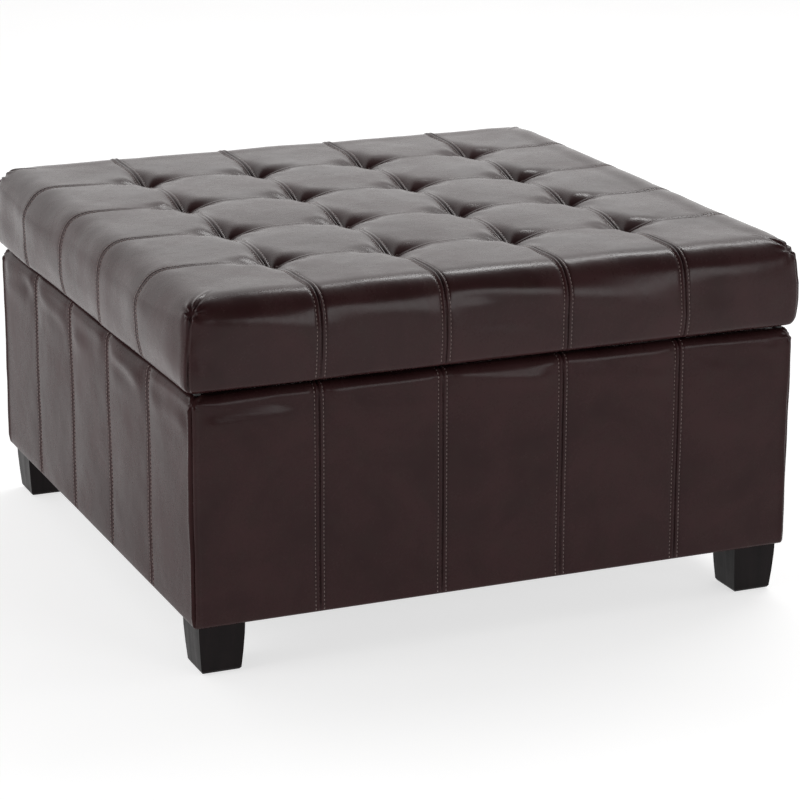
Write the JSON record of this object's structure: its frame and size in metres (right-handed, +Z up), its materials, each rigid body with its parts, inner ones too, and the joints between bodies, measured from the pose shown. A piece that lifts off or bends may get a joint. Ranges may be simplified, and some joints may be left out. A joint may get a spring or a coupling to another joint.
{
  "type": "storage ottoman",
  "caption": "Square upholstered storage ottoman on short tapered feet, with a thick tufted lid that hinges up at the back on folding stays over a lined storage space.",
  "frame": {"origin": "on the floor, under the centre of the ottoman", "axes": "+Z up, -Y towards the front, +X to the right as seen from the front; the lid's hinge axis runs along X at the back"},
  "size_m": [0.9, 0.9, 0.512],
  "materials": {
    "leather": "satin",
    "foot_finish": "satin",
    "board": "matte",
    "softwood": "matte",
    "foam": "matte",
    "lining_fabric": "matte",
    "twine": "matte",
    "steel": "satin",
    "pin_steel": "polished",
    "glide_plastic": "satin",
    "bumper_rubber": "matte"
  },
  "bodies": {
    "base": {"front_panel": "board", "back_panel": "board", "left_panel": "board", "right_panel": "board", "floor_panel": "board", "bottom_rail_front": "softwood", "bottom_rail_back": "softwood", "bottom_rail_left": "softwood", "bottom_rail_right": "softwood", "corner_post_front_left": "softwood", "corner_post_front_right": "softwood", "corner_post_back_left": "softwood", "corner_post_back_right": "softwood", "base_padding": "foam", "base_cover_front": "leather", "base_cover_back": "leather", "base_cover_left": "leather", "base_cover_right": "leather", "storage_lining": "lining_fabric", "dust_cover": "lining_fabric", "foot_front_left": "foot_finish", "foot_front_right": "foot_finish", "foot_back_left": "foot_finish", "foot_back_right": "foot_finish", "foot_bolts": "steel", "foot_inserts": "steel", "foot_glides": "glide_plastic", "hinge_base_leaf_left": "steel", "hinge_base_leaf_right": "steel", "hinge_pins": "pin_steel", "hinge_base_screws": "steel", "stay_base_bracket_left": "steel", "stay_base_bracket_right": "steel", "stay_base_pins": "pin_steel", "stay_base_screws": "steel"},
    "lid": {"lid_board": "board", "lid_rail_front": "softwood", "lid_rail_back": "softwood", "lid_rail_left": "softwood", "lid_rail_right": "softwood", "lid_foam": "foam", "lid_side_padding": "foam", "lid_cover": "leather", "lid_lining": "lining_fabric", "tuft_ties": "twine", "lid_bumpers": "bumper_rubber", "hinge_lid_leaf_left": "steel", "hinge_lid_leaf_right": "steel", "hinge_lid_screws": "steel", "stay_lid_bracket_left": "steel", "stay_lid_bracket_right": "steel", "stay_lid_pins": "pin_steel", "stay_lid_screws": "steel"},
    "stay_lower_left": {"stay_lower_arm_left": "steel", "stay_elbow_pin_left": "pin_steel"},
    "stay_upper_left": {"stay_upper_arm_left": "steel"},
    "stay_lower_right": {"stay_lower_arm_right": "steel", "stay_elbow_pin_right": "pin_steel"},
    "stay_upper_right": {"stay_upper_arm_right": "steel"}
  },
  "joints": [
    {"name": "lid_hinge", "type": "hinge", "parent": "base", "child": "lid", "pos_m": [0, 0.446, 0.389], "axis": [-1, 0, 0], "range_deg": [0, 95]},
    {"name": "stay_lower_left_pivot", "type": "hinge", "parent": "base", "child": "stay_lower_left", "pos_m": [-0.4157, 0.361, 0.279], "axis": [-1, 0, 0], "range_deg": [0, 95]},
    {"name": "stay_lower_right_pivot", "type": "hinge", "parent": "base", "child": "stay_lower_right", "pos_m": [0.4157, 0.361, 0.279], "axis": [-1, 0, 0], "range_deg": [0, 95]},
    {"name": "stay_upper_left_pivot", "type": "hinge", "parent": "lid", "child": "stay_upper_left", "pos_m": [-0.4127, 0.236, 0.375], "axis": [-1, 0, 0], "range_deg": [-95, 0]},
    {"name": "stay_upper_right_pivot", "type": "hinge", "parent": "lid", "child": "stay_upper_right", "pos_m": [0.4127, 0.236, 0.375], "axis": [-1, 0, 0], "range_deg": [-95, 0]}
  ],
  "couplings": [
    {"joint": "stay_lower_left_pivot", "follows": "lid_hinge", "ratio": 1},
    {"joint": "stay_lower_right_pivot", "follows": "lid_hinge", "ratio": 1},
    {"joint": "stay_upper_left_pivot", "follows": "lid_hinge", "ratio": -1},
    {"joint": "stay_upper_right_pivot", "follows": "lid_hinge", "ratio": -1}
  ]
}
